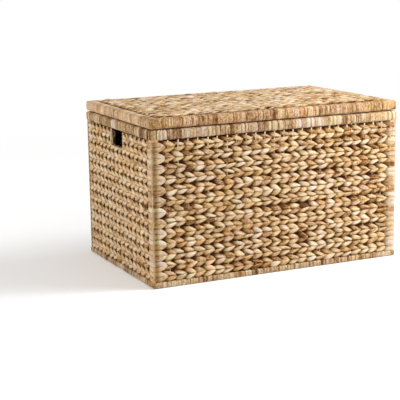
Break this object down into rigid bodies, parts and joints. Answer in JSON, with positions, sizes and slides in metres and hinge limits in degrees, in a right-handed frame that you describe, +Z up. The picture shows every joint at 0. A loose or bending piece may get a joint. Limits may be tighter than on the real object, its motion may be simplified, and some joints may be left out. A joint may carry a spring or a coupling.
{
  "type": "lidded storage trunk",
  "caption": "Rectangular woven water hyacinth storage trunk with wrapped edges, a hand hole in each end and a back-hinged woven lid.",
  "frame": {"origin": "on the floor, under the middle of the space the trunk takes up, hinges included", "axes": "+X to the right along the long side, +Y to the back where the hinges are, +Z up"},
  "size_m": [0.7, 0.4474, 0.4172],
  "materials": {
    "weave": "matte",
    "body_wrap": "satin",
    "lid_wrap": "satin",
    "timber": "matte",
    "board": "matte",
    "steel": "satin"
  },
  "bodies": {
    "trunk": {"rim_rail_front": "timber", "base_rail_front": "timber", "rim_wrap_front": "body_wrap", "base_wrap_front": "body_wrap", "woven_wall_front": "weave", "rim_rail_right": "timber", "base_rail_right": "timber", "rim_wrap_right": "body_wrap", "base_wrap_right": "body_wrap", "woven_wall_right": "weave", "rim_rail_back": "timber", "base_rail_back": "timber", "rim_wrap_back": "body_wrap", "base_wrap_back": "body_wrap", "woven_wall_back": "weave", "rim_rail_left": "timber", "base_rail_left": "timber", "rim_wrap_left": "body_wrap", "base_wrap_left": "body_wrap", "woven_wall_left": "weave", "hand_hole_binding_right": "body_wrap", "hand_hole_binding_left": "body_wrap", "corner_post_front_left": "timber", "corner_wrap_front_left": "body_wrap", "corner_post_front_right": "timber", "corner_wrap_front_right": "body_wrap", "corner_post_back_right": "timber", "corner_wrap_back_right": "body_wrap", "corner_post_back_left": "timber", "corner_wrap_back_left": "body_wrap", "base_board": "board", "hinge_body_leaf_left": "steel", "hinge_pin_left": "steel", "hinge_screw_body_left_1": "steel", "hinge_screw_body_left_2": "steel", "hinge_screw_body_left_3": "steel", "hinge_body_leaf_right": "steel", "hinge_pin_right": "steel", "hinge_screw_body_right_1": "steel", "hinge_screw_body_right_2": "steel", "hinge_screw_body_right_3": "steel"},
    "lid": {"lid_rail_front": "timber", "lid_wrap_front": "lid_wrap", "lid_rail_right": "timber", "lid_wrap_right": "lid_wrap", "lid_rail_back": "timber", "lid_wrap_back": "lid_wrap", "lid_rail_left": "timber", "lid_wrap_left": "lid_wrap", "lid_woven_panel": "weave", "hinge_lid_leaf_left": "steel", "hinge_screw_lid_left_1": "steel", "hinge_screw_lid_left_2": "steel", "hinge_screw_lid_left_3": "steel", "hinge_lid_leaf_right": "steel", "hinge_screw_lid_right_1": "steel", "hinge_screw_lid_right_2": "steel", "hinge_screw_lid_right_3": "steel"}
  },
  "joints": [
    {"name": "lid_hinge", "type": "hinge", "parent": "trunk", "child": "lid", "pos_m": [0, 0.22015, 0.3886], "axis": [-1, 0, 0], "range_deg": [0, 180]}
  ]
}
